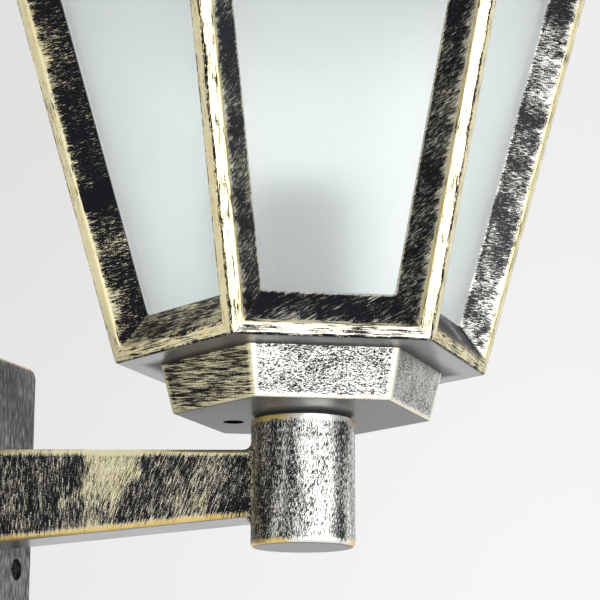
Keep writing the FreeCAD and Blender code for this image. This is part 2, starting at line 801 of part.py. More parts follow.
def build_roof():
    """Cast hipped roof with a drip skirt, its seal, and the bar, stud and finial that hold it down."""
    seat = cage_height + roof_seal_thickness
    inner_radius = cage_top_radius - cage_inset
    seal = hex_block(cage_top_radius, cage_height, cage_top_radius, seat)
    save("roof_seal", on_lantern(seal.cut(hex_block(inner_radius, cage_height, inner_radius, seat))))

    skirt_radius = cage_top_radius + roof_skirt_play / math.cos(HALF_SIDE)
    eaves_radius = skirt_radius + roof_wall / math.cos(HALF_SIDE)
    skirt_low = cage_height - roof_skirt_drop
    fascia_top = seat + roof_fascia
    roof_top = fascia_top + roof_rise
    roof = hex_block(eaves_radius, skirt_low, eaves_radius, fascia_top)
    roof = roof.fuse(hex_block(eaves_radius, fascia_top, roof_top_radius, roof_top)).removeSplitter()
    roof = roof.makeFillet(roof_edge_radius, roof.Edges)
    slope = (eaves_radius - roof_top_radius) / roof_rise
    drop = roof_wall * math.hypot(1, 1 / (slope * math.cos(HALF_SIDE)))
    ledge_radius = inner_radius + roof_ledge / 2
    attic_low = fascia_top - drop + (eaves_radius - ledge_radius) / slope
    attic_top = roof_top - drop
    roof = roof.cut(hex_block(skirt_radius, skirt_low, skirt_radius, seat))
    roof = roof.cut(hex_block(ledge_radius, seat, ledge_radius, attic_low))
    roof = roof.cut(hex_block(ledge_radius, attic_low, roof_top_radius, attic_top))
    roof = roof.cut(cylinder(stud_diameter + hole_play, V(0, 0, attic_top), UP, drop))
    save("roof", on_lantern(roof))

    bar = Part.makeBox(bar_width, bar_length, bar_thickness)
    bar.translate(V(-bar_width / 2, -bar_length / 2, bar_low))
    bar = bar.cut(cylinder(stud_diameter + hole_play, V(0, 0, bar_low), UP, bar_thickness))
    fixings = []
    for angle in (90, 270):
        hole = polar(bar_screw_spacing, angle, bar_low)
        bar = bar.cut(cylinder(m4_thread + hole_play, hole, UP, bar_thickness))
        head_seat = polar(bar_screw_spacing, angle, cage_height)
        body = screw(head_seat, -UP, m4_thread, m4_head, m4_head_height, bar_screw_length)
        fixings.append(on_lantern(body))
    save("roof_bar", on_lantern(bar))
    save("bar_screws", *fixings)

    stud_low = bar_low - stud_nut_height
    stud_length = roof_top + stud_engagement - stud_low
    save("roof_stud", on_lantern(cylinder(stud_diameter, V(0, 0, stud_low), UP, stud_length)))
    nut_bore = stud_diameter + hole_play
    nuts = [
        on_lantern(hex_nut(stud_nut_flats, stud_nut_height, nut_bore, level))
        for level in (stud_low, cage_height)
    ]
    save("stud_nuts", *nuts)

    neck = roof_top + finial_base_height
    ball_low = neck + finial_neck_height
    swell = math.sqrt(finial_ball_radius ** 2 - finial_neck_radius ** 2)
    ball_centre = V(0, 0, ball_low + swell)
    finial = revolved([
        (0, roof_top),
        (finial_base_radius, roof_top),
        (finial_base_radius, roof_top + finial_base_height / 2),
        (finial_neck_radius, neck),
        (finial_neck_radius, ball_low + finial_neck_radius / 2),
        (0, ball_low + finial_neck_radius / 2),
    ])
    finial = finial.fuse(Part.makeSphere(finial_ball_radius, ball_centre)).removeSplitter()
    finial = finial.cut(cylinder(nut_bore, V(0, 0, roof_top), UP, stud_engagement + hole_play))
    save("finial", on_lantern(finial))


os.makedirs("parts", exist_ok=True)
build_wall_seal()
build_wall_plate()
build_wall_bracket()
build_plate_screws()
build_terminal_block()
build_earth_terminal()
build_arm()
build_boss_seal()
build_collar()
build_cage()
build_panes()
build_pane_clips()
build_lampholder()
build_roof()
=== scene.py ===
"""Dresses the six-sided outdoor wall lantern and sets it in a plain pale studio."""

from __future__ import annotations

import logging
import math
from dataclasses import dataclass
from enum import Enum
from typing import Any

import bmesh
import bpy
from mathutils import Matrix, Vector

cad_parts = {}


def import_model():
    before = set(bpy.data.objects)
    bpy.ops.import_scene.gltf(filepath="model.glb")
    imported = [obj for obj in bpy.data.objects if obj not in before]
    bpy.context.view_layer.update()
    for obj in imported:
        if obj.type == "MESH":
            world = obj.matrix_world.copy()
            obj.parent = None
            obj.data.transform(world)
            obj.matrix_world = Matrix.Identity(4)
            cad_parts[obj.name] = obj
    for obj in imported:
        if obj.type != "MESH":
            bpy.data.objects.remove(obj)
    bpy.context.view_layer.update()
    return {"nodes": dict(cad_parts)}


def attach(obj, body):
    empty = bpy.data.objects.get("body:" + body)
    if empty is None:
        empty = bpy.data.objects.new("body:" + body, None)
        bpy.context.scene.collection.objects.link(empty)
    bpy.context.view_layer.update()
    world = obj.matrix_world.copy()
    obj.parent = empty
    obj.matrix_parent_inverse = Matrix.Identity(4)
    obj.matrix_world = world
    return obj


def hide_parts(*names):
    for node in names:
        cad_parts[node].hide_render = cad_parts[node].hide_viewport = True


LOG = logging.getLogger("wall_lantern")
MM = 0.001
BODY = "root"
SIXTH_TURN = math.radians(60)
FLAT_SHARE = math.cos(math.radians(30))
Colour = tuple[float, float, float]


class Signal:
    """A value in a material's node tree that takes Python arithmetic."""

    def __init__(self, tree: NodeBench, socket: bpy.types.NodeSocket) -> None:
        """Wraps one output socket of a tree."""
        self.tree = tree
        self.socket = socket

    def __add__(self, other: Operand) -> Signal:
        """This value plus another."""
        return self.tree.math("ADD", self, other)

    def __radd__(self, other: Operand) -> Signal:
        """Another value plus this one."""
        return self.tree.math("ADD", other, self)

    def __sub__(self, other: Operand) -> Signal:
        """This value less another."""
        return self.tree.math("SUBTRACT", self, other)

    def __rsub__(self, other: Operand) -> Signal:
        """Another value less this one."""
        return self.tree.math("SUBTRACT", other, self)

    def __mul__(self, other: Operand) -> Signal:
        """This value times another."""
        return self.tree.math("MULTIPLY", self, other)

    def __rmul__(self, other: Operand) -> Signal:
        """Another value times this one."""
        return self.tree.math("MULTIPLY", other, self)

    def __truediv__(self, other: Operand) -> Signal:
        """This value over another."""
        return self.tree.math("DIVIDE", self, other)

    def __abs__(self) -> Signal:
        """The size of this value without its sign."""
        return self.tree.math("ABSOLUTE", self)

    def least(self, other: Operand) -> Signal:
        """The smaller of this value and another."""
        return self.tree.math("MINIMUM", self, other)

    def most(self, other: Operand) -> Signal:
        """The larger of this value and another."""
        return self.tree.math("MAXIMUM", self, other)

    def is_near(self, number: float, room: float) -> Signal:
        """One where this value lies within some room of a number, else nought."""
        return self.tree.math("COMPARE", self, number, room)

    def rises(self, low: float, high: float) -> Signal:
        """A soft step from nought at the low value to one at the high value."""
        return self.tree.soft_step(self, low, high)

    def falls(self, low: float, high: float) -> Signal:
        """A soft step from one at the low value to nought at the high value."""
        return 1.0 - self.tree.soft_step(self, low, high)


Operand = Signal | float


class NodeBench:
    """A node tree, with short ways to add its nodes."""

    def __init__(self, tree: bpy.types.NodeTree) -> None:
        """Empties a tree to work on."""
        self.tree = tree
        self.tree.nodes.clear()

    def node(
        self,
        kind: str,
        settings: dict[str, Any] | None = None,
        sockets: dict[str | int, Any] | None = None,
    ) -> bpy.types.Node:
        """Adds a node.

        Args:
            kind: Blender's name of the node's type.
            settings: Properties of the node, which are set first.
            sockets: Values or links for its input sockets, by name or number.

        Returns:
            The new node.
        """
        made = self.tree.nodes.new(kind)
        for key, value in (settings or {}).items():
            setattr(made, key, value)
        for key, value in (sockets or {}).items():
            source = value.socket if isinstance(value, Signal) else value
            if isinstance(source, bpy.types.NodeSocket):
                self.tree.links.new(source, made.inputs[key])
            else:
                made.inputs[key].default_value = source
        return made

    def math(self, operation: str, *values: Operand) -> Signal:
        """Adds a Math node on one to three values and gives its result."""
        made = self.node("ShaderNodeMath", {"operation": operation}, dict(enumerate(values)))
        return Signal(self, made.outputs[0])

    def soft_step(self, value: Signal, low: float, high: float) -> Signal:
        """Adds a smooth step of a value between two levels.

        Args:
            value: The value to step on.
            low: Where the step is still nought.
            high: Where the step has come to one.

        Returns:
            The step.
        """
        made = self.node(
            "ShaderNodeMapRange", {"interpolation_type": "SMOOTHSTEP"}, {0: value, 1: low, 2: high}
        )
        return Signal(self, made.outputs[0])

    def split(self, socket: bpy.types.NodeSocket, scale: float) -> tuple[Signal, Signal, Signal]:
        """Gives the three parts of a vector, each times a scale."""
        made = self.node("ShaderNodeSeparateXYZ", sockets={0: socket})
        return tuple(Signal(self, part) * scale for part in made.outputs)

    def blend(self, share: Operand, first: Any, second: Any) -> bpy.types.NodeSocket:
        """Mixes two colours.

        Args:
            share: The share of the second colour, nought to one.
            first: The first colour, or a socket that gives it.
            second: The second colour, or a socket that gives it.

        Returns:
            The socket of the mixed colour.
        """
        ends = [(*end, 1.0) if isinstance(end, tuple) else end for end in (first, second)]
        made = self.node("ShaderNodeMix", {"data_type": "RGBA"}, {0: share, 6: ends[0], 7: ends[1]})
        return made.outputs[2]


class FinishTree(NodeBench):
    """The node tree of one finish on the object."""

    tuft_width = 3.4
    tuft_length = 2.5
    tuft_share = 0.3

    def __init__(self, name: str) -> None:
        """Starts an empty material.

        Args:
            name: The material's name.
        """
        self.material = bpy.data.materials.new(name)
        self.material.use_nodes = True
        super().__init__(self.material.node_tree)
        self.place = self.node("ShaderNodeTexCoord")

    def millimetres(self) -> tuple[Signal, Signal, Signal]:
        """The place on the object, in millimetres of the shared frame."""
        return self.split(self.place.outputs["Object"], 1 / MM)

    def facing(self) -> tuple[Signal, Signal, Signal]:
        """The direction that the surface faces."""
        return self.split(self.place.outputs["Normal"], 1.0)

    def underside(self) -> Signal:
        """One on surfaces that face straight down, else nought."""
        return self.facing()[2].falls(-0.93, -0.8)

    def noise(self, x: Operand, y: Operand, z: Operand, detail: float = 2.0, rough: float = 0.5) -> Signal:
        """Adds cloudy noise.

        Args:
            x: First place, in feature sizes.
            y: Second place, in feature sizes.
            z: Third place, in feature sizes.
            detail: How many finer layers lie over the first.
            rough: How strong each finer layer is.

        Returns:
            The noise, about a half on average.
        """
        spot = self.node("ShaderNodeCombineXYZ", sockets={0: x, 1: y, 2: z})
        made = self.node(
            "ShaderNodeTexNoise",
            sockets={"Vector": spot.outputs[0], "Scale": 1.0, "Detail": detail, "Roughness": rough},
        )
        return Signal(self, made.outputs[0])

    def grain(self, size: float, detail: float = 2.0) -> Signal:
        """Even noise with features of a size in millimetres."""
        x, y, z = self.millimetres()
        return self.noise(x / size, y / size, z / size, detail)

    def bristles(
        self, thin: Signal, long: Signal, seed: Operand, fine: float = 0.20, length: float = 2.4
    ) -> Signal:
        """Adds the marks of a dry brush.

        Args:
            thin: Place across the strokes, in millimetres.
            long: Place along the strokes, in millimetres.
            seed: A value that sets one brushed stretch apart from another.
            fine: Width of a hair's mark.
            length: Length of a hair's mark.

        Returns:
            Noise, about a half on average, drawn out along the strokes.
        """
        hairs = self.noise(thin / fine, long / length, seed, 1.0)
        wide, far = fine * self.tuft_width, length * self.tuft_length
        tufts = self.noise(thin / wide, long / far, seed + 5.0, 2.0, 0.6)
        return hairs * (1.0 - self.tuft_share) + tufts * self.tuft_share

    def bump(self, height: Signal, depth: float) -> bpy.types.NodeSocket:
        """Turns a height from nought to one into a bumped normal of that depth in millimetres."""
        made = self.node("ShaderNodeBump", sockets={"Height": height, "Distance": depth * MM})
        return made.outputs[0]

    def close(self, sockets: dict[str | int, Any]) -> bpy.types.Material:
        """Ends the tree in a Principled shader.

        Args:
            sockets: Values or links for the shader's sockets.

        Returns:
            The material.
        """
        shader = self.node("ShaderNodeBsdfPrincipled", sockets=sockets)
        self.node("ShaderNodeOutputMaterial", sockets={"Surface": shader.outputs[0]})
        return self.material


@dataclass(frozen=True)
class AntiquePaint:
    """Black paint with a leathery skin, brushed over with gold that is nearly dry."""

    black: Colour = (0.0048, 0.0051, 0.0080)
    gold: Colour = (0.86, 0.80, 0.53)
    amber: Colour = (0.80, 0.55, 0.16)
    # Silver-white that the gold is tinted towards as a painted highlight.
    sheen_silver: Colour = (0.90, 0.89, 0.84)
    # Grey for the undersides: a painted reflection of the pale floor in the black paint.
    bare: Colour = (0.097, 0.097, 0.099)
    primer: Colour = (0.92, 0.92, 0.91)
    skin_size: float = 0.26
    relief: float = 0.06
    stroke_gain: float = 3.3
    speckle: float = 2.0
    softness: float = 0.19
    tone_size: float = 6.0
    tone_share: float = 0.25
    metal_share: float = 0.94
    roughness: float = 0.40
    shine: float = 0.07
    thin_coat: float = 0.22
    coat_roughness: float = 0.2

    def finish(
        self,
        tree: FinishTree,
        cover: Signal,
        strokes: Signal,
        under: Operand = 0.0,
        deep: Operand = 0.0,
        veil: Operand = 1.0,
        inside: Operand = 0.0,
        lacquer: Operand = 0.28,
        pale: Operand = 0.0,
    ) -> bpy.types.Material:
        """Closes a tree as this paint.

        Args:
            tree: The tree to close.
            cover: Share of the surface that the gold covers, nought to one.
            strokes: Noise drawn out along the brush's way.
            under: One where the casting faces down; the gold is left off there and the black is lightened
                to a grey that is a painted reflection of the floor.
            deep: One where the gold lies thick and amber.
            veil: How much of the black the gold hides where it lies.
            inside: One on the casting's inside, which is left in pale primer.
            lacquer: How glossy the plain undersides are.
            pale: One where the gold is tinted silver-white, a painted highlight that stands in for white
                reflections on the lit faces.

        Returns:
            The material.
        """
        skin = tree.grain(self.skin_size, 3.0)
        amount = cover + (strokes - 0.5) * self.stroke_gain + (skin - 0.5) * self.speckle
        gold = amount.rises(0.5 - self.softness, 0.5 + self.softness) * (1.0 - under) * veil
        tone = tree.grain(self.tone_size).rises(0.45, 0.75) * self.tone_share
        leaf = tree.blend((tone + deep).least(1.0), self.gold, self.amber)
        # Painted highlight: the gold turns silver-white where pale is set.
        leaf = tree.blend(pale, leaf, self.sheen_silver)
        # Painted reflection: undersides take the grey in place of the black.
        ground = tree.blend(inside, tree.blend(under, self.black, self.bare), self.primer)
        return tree.close({
            "Base Color": tree.blend(gold, ground, leaf),
            "Metallic": gold * self.metal_share,
            "Roughness": self.roughness - gold * 0.10 - under * 0.06 + (skin - 0.5) * 0.2,
            "Specular IOR Level": self.shine,
            "Coat Weight": under * lacquer + (1.0 - under) * pale * self.thin_coat,
            "Coat Roughness": self.coat_roughness,
            "Normal": tree.bump(skin * 0.5 + gold * 0.5, self.relief),
        })


@dataclass(frozen=True)
class FrostedGlass:
    """Clear glass etched dull, faintly green-blue."""

    tint: Colour = (0.930, 0.985, 0.975)
    border: Colour = (0.970, 1.0, 0.995)
    edge_line: Colour = (0.70, 0.76, 0.75)
    roughness: float = 0.50
    clearness: float = 0.75
    index: float = 1.45
    shine: float = 0.5
    cloud_size: float = 14.0
    etch_size: float = 0.5
    etch_depth: float = 0.01
    line_share: float = 0.10

    def finish(self, tree: FinishTree, rim: Signal, line: Signal) -> bpy.types.Material:
        """Closes a tree as this glass.

        Args:
            tree: The tree to close.
            rim: One along the pane's border, where the glass is paler.
            line: One on the fine grey line that ends the border.

        Returns:
            The material.
        """
        cloud = tree.grain(self.cloud_size).rises(0.2, 0.8)
        body = tree.blend(rim * 0.9 + cloud * 0.1, self.tint, self.border)
        return tree.close({
            "Base Color": tree.blend(line * self.line_share, body, self.edge_line),
            "Roughness": self.roughness + (cloud - 0.5) * 0.03,
            "Transmission Weight": self.clearness,
            "IOR": self.index,
            "Specular IOR Level": self.shine,
            "Normal": tree.bump(tree.grain(self.etch_size), self.etch_depth),
        })


class Metal(Enum):
    """The bare metals of the fittings: colour, roughness and size of their grain in millimetres."""

    ZINC = ((0.62, 0.63, 0.64), 0.34, 6.0)
    BLACKENED = ((0.024, 0.024, 0.026), 0.34, 1.5)
    BRASS = ((0.78, 0.58, 0.26), 0.26, 4.0)

    def finish(self, name: str) -> bpy.types.Material:
        """Makes the metal's material: spangle, fine drawing lines and a dulled patch here and there.

        Args:
            name: The material's name.

        Returns:
            The material.
        """
        colour, roughness, size = self.value
        tree = FinishTree(name)
        x, y, z = tree.millimetres()
        spangle = tree.grain(size, 1.0).rises(0.3, 0.7)
        lines = tree.noise(x / 0.4, y / 0.4, z / 9.0)
        dull = tuple(part * 0.72 for part in colour)
        return tree.close({
            "Base Color": tree.blend(spangle * 0.6 + lines * 0.3, dull, colour),
            "Metallic": 1.0,
            "Roughness": roughness + (lines - 0.5) * 0.18 - (spangle - 0.5) * 0.1,
            "Normal": tree.bump(lines, 0.02),
        })


class Moulding(Enum):
    """The moulded pieces: colour, roughness and depth of their skin in millimetres."""

    SEAL = ((0.022, 0.022, 0.023), 0.68, 0.06)
    HOLDER = ((0.030, 0.030, 0.032), 0.40, 0.02)
    BLOCK = ((0.74, 0.74, 0.69), 0.44, 0.03)

    def finish(self, name: str) -> bpy.types.Material:
        """Makes the moulding's material: a fine skin, and tone that drifts a little.

        Args:
            name: The material's name.

        Returns:
            The material.
        """
        colour, roughness, depth = self.value
        tree = FinishTree(name)
        drift = tree.grain(11.0).rises(0.25, 0.75)
        skin = tree.grain(0.7)
        darker = tuple(part * 0.86 for part in colour)
        return tree.close({
            "Base Color": tree.blend(drift, darker, colour),
            "Roughness": roughness + (skin - 0.5) * 0.14,
            "Normal": tree.bump(skin, depth),
        })


class Side(Enum):
    """The lantern's sides that the photograph shows, by their numbers."""

    FRONT = -1.0
    RIGHT = 0.0
    LEFT = -2.0

    def mask(self, side: Signal) -> Signal:
        """One on this side, else nought."""
        return side.is_near(self.value, 0.1)


@dataclass(frozen=True)
class SixSides:
    """Folds the six like sides of the lantern onto one another, in millimetres."""

    reach: float = 146.0
    level: float = 63.0

    def fold(self, tree: FinishTree) -> tuple[Signal, Signal, Signal, Signal]:
        """Turns each side of the lantern to face along its own first axis.

        Args:
            tree: The tree that the place is read in.

        Returns:
            How far out a point lies, how far along its side, how high above the
            cage's underside, and the side's number, from -3 to 3.
        """
        x, y, z = tree.millimetres()
        x = x - self.reach
        side = tree.math("ROUND", tree.math("ARCTAN2", y, x) / SIXTH_TURN)
        turn = side * SIXTH_TURN
        cosine, sine = tree.math("COSINE", turn), tree.math("SINE", turn)
        return x * cosine + y * sine, y * cosine - x * sine, z - self.level, side


def dress(nodes: dict[str, bpy.types.Object], material: bpy.types.Material, *names: str) -> None:
    """Gives CAD nodes a material.

    Args:
        nodes: The frame's nodes by name.
        material: The material for every slot of each node.
        names: The nodes to dress.
    """
    for name in names:
        slots = nodes[name].material_slots
        for slot in slots:
            slot.material = material
        if not slots:
            nodes[name].data.materials.append(material)
        LOG.info("dressed %s in %s", name, material.name)


class Facing(Enum):
    """The faces that are picked on a piece, by the reach of their normals along the X axis."""

    OUT = (0.9, 1.1)
    BACK = (-1.1, -0.9)
    ASIDE = (-0.1, 0.1)

    def holds(self, normal: Vector) -> bool:
        """Whether a face with that normal is one of them."""
        low, high = self.value
        return low < normal.x < high


class HandShaped:
    """A piece that is shaped by hand from the primitive that was added last."""

    def __init__(self, name: str) -> None:
        """Names the primitive and puts its place into its mesh.

        Args:
            name: The piece's name.
        """
        self.piece = bpy.context.object
        self.piece.name = name
        bpy.ops.object.transform_apply()

    def pick(self, wanted: Facing) -> None:
        """Opens edit mode with just some faces selected.

        Args:
            wanted: Which faces those are.
        """
        bpy.ops.object.mode_set(mode="EDIT")
        bpy.ops.mesh.select_mode(type="FACE")
        bpy.ops.mesh.select_all(action="DESELECT")
        shape = bmesh.from_edit_mesh(self.piece.data)
        for face in shape.faces:
            face.select_set(wanted.holds(face.normal))
        bmesh.update_edit_mesh(self.piece.data)

    def draw_out(self, way: Vector, grow: float, middle: Vector) -> None:
        """Extrudes the selected faces and scales their new end.

        Args:
            way: How far the faces are drawn out.
            grow: Size of the new end across the X axis, next to the old one.
            middle: The point that the end is scaled about.
        """
        bpy.ops.mesh.extrude_region_move(TRANSFORM_OT_translate={"value": way})
        bpy.ops.transform.resize(value=(1.0, grow, grow), center_override=middle)

    def close(self) -> None:
        """Leaves edit mode with every normal outward."""
        bpy.ops.mesh.select_all(action="SELECT")
        bpy.ops.mesh.normals_make_consistent(inside=False)
        bpy.ops.object.mode_set(mode="OBJECT")

    def modify(self, kind: str, settings: dict[str, Any]) -> None:
        """Adds a modifier to the piece and applies it.

        Args:
            kind: Blender's name of the modifier's type.
            settings: Properties of the modifier.
        """
        bpy.ops.object.select_all(action="DESELECT")
        self.piece.select_set(True)
        bpy.context.view_layer.objects.active = self.piece
        modifier = self.piece.modifiers.new(kind.lower(), kind)
        for key, value in settings.items():
            setattr(modifier, key, value)
        bpy.ops.object.modifier_apply(modifier=modifier.name)


@dataclass(frozen=True)
class SunkScrews:
    """The two cross-head screws that lie sunk in the plate's face. Millimetres."""

    spacing: float = 57.6
    top: float = 19.0
    tip: float = 6.0
    shank_radius: float = 2.0
    head_radius: float = 3.9
    head_depth: float = 1.9
    crown: float = 0.25
    point: float = 0.7
    cross_reach: float = 3.1
    cross_width: float = 1.25
    cross_depth: float = 1.7
    cross_taper: float = 0.5
    crown_inset: float = 0.6
    point_share: float = 0.65
    edge: float = 0.09
    edge_angle: float = math.radians(35)
    segments: int = 48

    def spot(self, x: float) -> Vector:
        """A point on the first screw's axis."""
        return Vector((x, -self.spacing / 2, 0.0)) * MM

    def blank(self) -> HandShaped:
        """Shapes a shank with a point, a conical head and a low crown.

        Returns:
            The screw without its cross.
        """
        neck, foot = self.top - self.head_depth, self.tip + self.point
        bpy.ops.object.select_all(action="DESELECT")
        bpy.ops.mesh.primitive_cylinder_add(
            vertices=self.segments,
            radius=self.shank_radius * MM,
            depth=(neck - foot) * MM,
            location=self.spot((neck + foot) / 2),
            rotation=(0.0, math.radians(90), 0.0),
        )
        screw = HandShaped("plate_screw_left")
        brim = self.top - self.crown
        screw.pick(Facing.OUT)
        grow = self.head_radius / self.shank_radius
        screw.draw_out(self.spot(brim) - self.spot(neck), grow, self.spot(brim))
        bpy.ops.mesh.inset(thickness=self.crown_inset * MM, depth=self.crown * MM)
        screw.pick(Facing.BACK)
        screw.draw_out(self.spot(self.tip) - self.spot(foot), self.point_share, self.spot(self.tip))
        screw.close()
        return screw

    def cross(self) -> HandShaped:
        """Shapes what is cut out of the head: four arms that narrow with depth.

        Returns:
            The cutter.
        """
        bpy.ops.object.select_all(action="DESELECT")
        bpy.ops.mesh.primitive_cube_add(
            size=self.cross_width * MM,
            location=self.spot(self.top),
            scale=(2 * self.cross_depth / self.cross_width, 1.0, 1.0),
        )
        cutter = HandShaped("screw_cross")
        cutter.pick(Facing.ASIDE)
        arm = self.cross_reach - self.cross_width / 2
        bpy.ops.mesh.extrude_faces_move(TRANSFORM_OT_shrink_fatten={"value": arm * MM})
        cutter.pick(Facing.BACK)
        floor = self.spot(self.top - self.cross_depth)
        bpy.ops.transform.resize(value=(1.0, self.cross_taper, self.cross_taper), center_override=floor)
        cutter.close()
        return cutter

    def build(self) -> None:
        """Models one screw, copies it and puts both in the place of the CAD's screws."""
        screw, cutter = self.blank(), self.cross()
        screw.modify("BOOLEAN", {"object": cutter.piece, "operation": "DIFFERENCE"})
        bpy.data.objects.remove(cutter.piece)
        rounding = {"width": self.edge * MM, "segments": 2, "angle_limit": self.edge_angle}
        screw.modify("BEVEL", rounding)
        screw.piece.data.materials.append(Metal.BLACKENED.finish("blackened_screws"))
        bpy.ops.object.shade_smooth_by_angle(angle=self.edge_angle)
        bpy.ops.object.duplicate()
        bpy.ops.transform.translate(value=(0.0, self.spacing * MM, 0.0))
        other = HandShaped("plate_screw_right")
        for piece in (screw.piece, other.piece):
            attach(piece, BODY)
            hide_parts("plate_screws")
            LOG.info("modelled %s", piece.name)


@dataclass
class WallPlate:
    """The cast plate on the wall with its seal, bracket, screws and terminals. Millimetres."""

    width: float = 81.6
    height: float = 157.0
    front: float = 20.0
    edge_band: float = 1.8
    sink_radius: float = 4.5
    screws: SunkScrews = SunkScrews()

    def paint(self) -> bpy.types.Material:
        """Paint with faint upright streaks and a little gold on the plate's edges, black painted shade in
        the countersinks, and painted reflection grey and a painted highlight over its face.

        Returns:
            The material.
        """
        tree = FinishTree("antique_paint_plate")
        x, y, z = tree.millimetres()
        patches = tree.noise(y / 24.0, z / 40.0, 3.0)
        strokes = tree.bristles(x + y, z, 2.0, 0.34, 5.0)
        side = self.width / 2 - abs(y)
        end = self.height / 2 - abs(z)
        edge = side.least(end).falls(0.4, self.edge_band) * (x - self.front).rises(-2.6, -1.2)
        # Painted shade: the countersinks round the screws stay black, with no gold and no grey.
        off = abs(y) - self.screws.spacing / 2
        sunk = tree.math("SQRT", off * off + z * z).falls(self.sink_radius, self.sink_radius + 0.5)
        sunk = sunk * (x - self.front).falls(-0.6, -0.2)
        cover = 0.36 + (patches - 0.5) * 1.2 + edge * 0.5 - sunk * 3.0
        # Painted reflection and painted highlight: a quarter of the underside grey, and the silver-white
        # tint, over the face away from its edges and countersinks.
        under = (1.0 - edge - sunk) * 0.25
        veil = 0.38 + edge * 0.4
        return AntiquePaint().finish(tree, cover, strokes, under, edge * 0.6, veil, pale=1.0 - edge)

    def build(self, nodes: dict[str, bpy.types.Object]) -> None:
        """Dresses the plate and everything behind it.

        Args:
            nodes: The frame's nodes by name.
        """
        dress(nodes, self.paint(), "wall_plate")
        self.screws.build()
        dress(nodes, Moulding.SEAL.finish("wall_seal_rubber"), "wall_seal")
        zinc = Metal.ZINC.finish("zinc_bracket")
        dress(nodes, zinc, "wall_bracket", "block_screws", "arm_screws")
        dress(nodes, Moulding.BLOCK.finish("block_moulding"), "terminal_block")
        brass = Metal.BRASS.finish("terminal_brass")
        dress(nodes, brass, "terminal_screws", "earth_screw", "earth_washer")


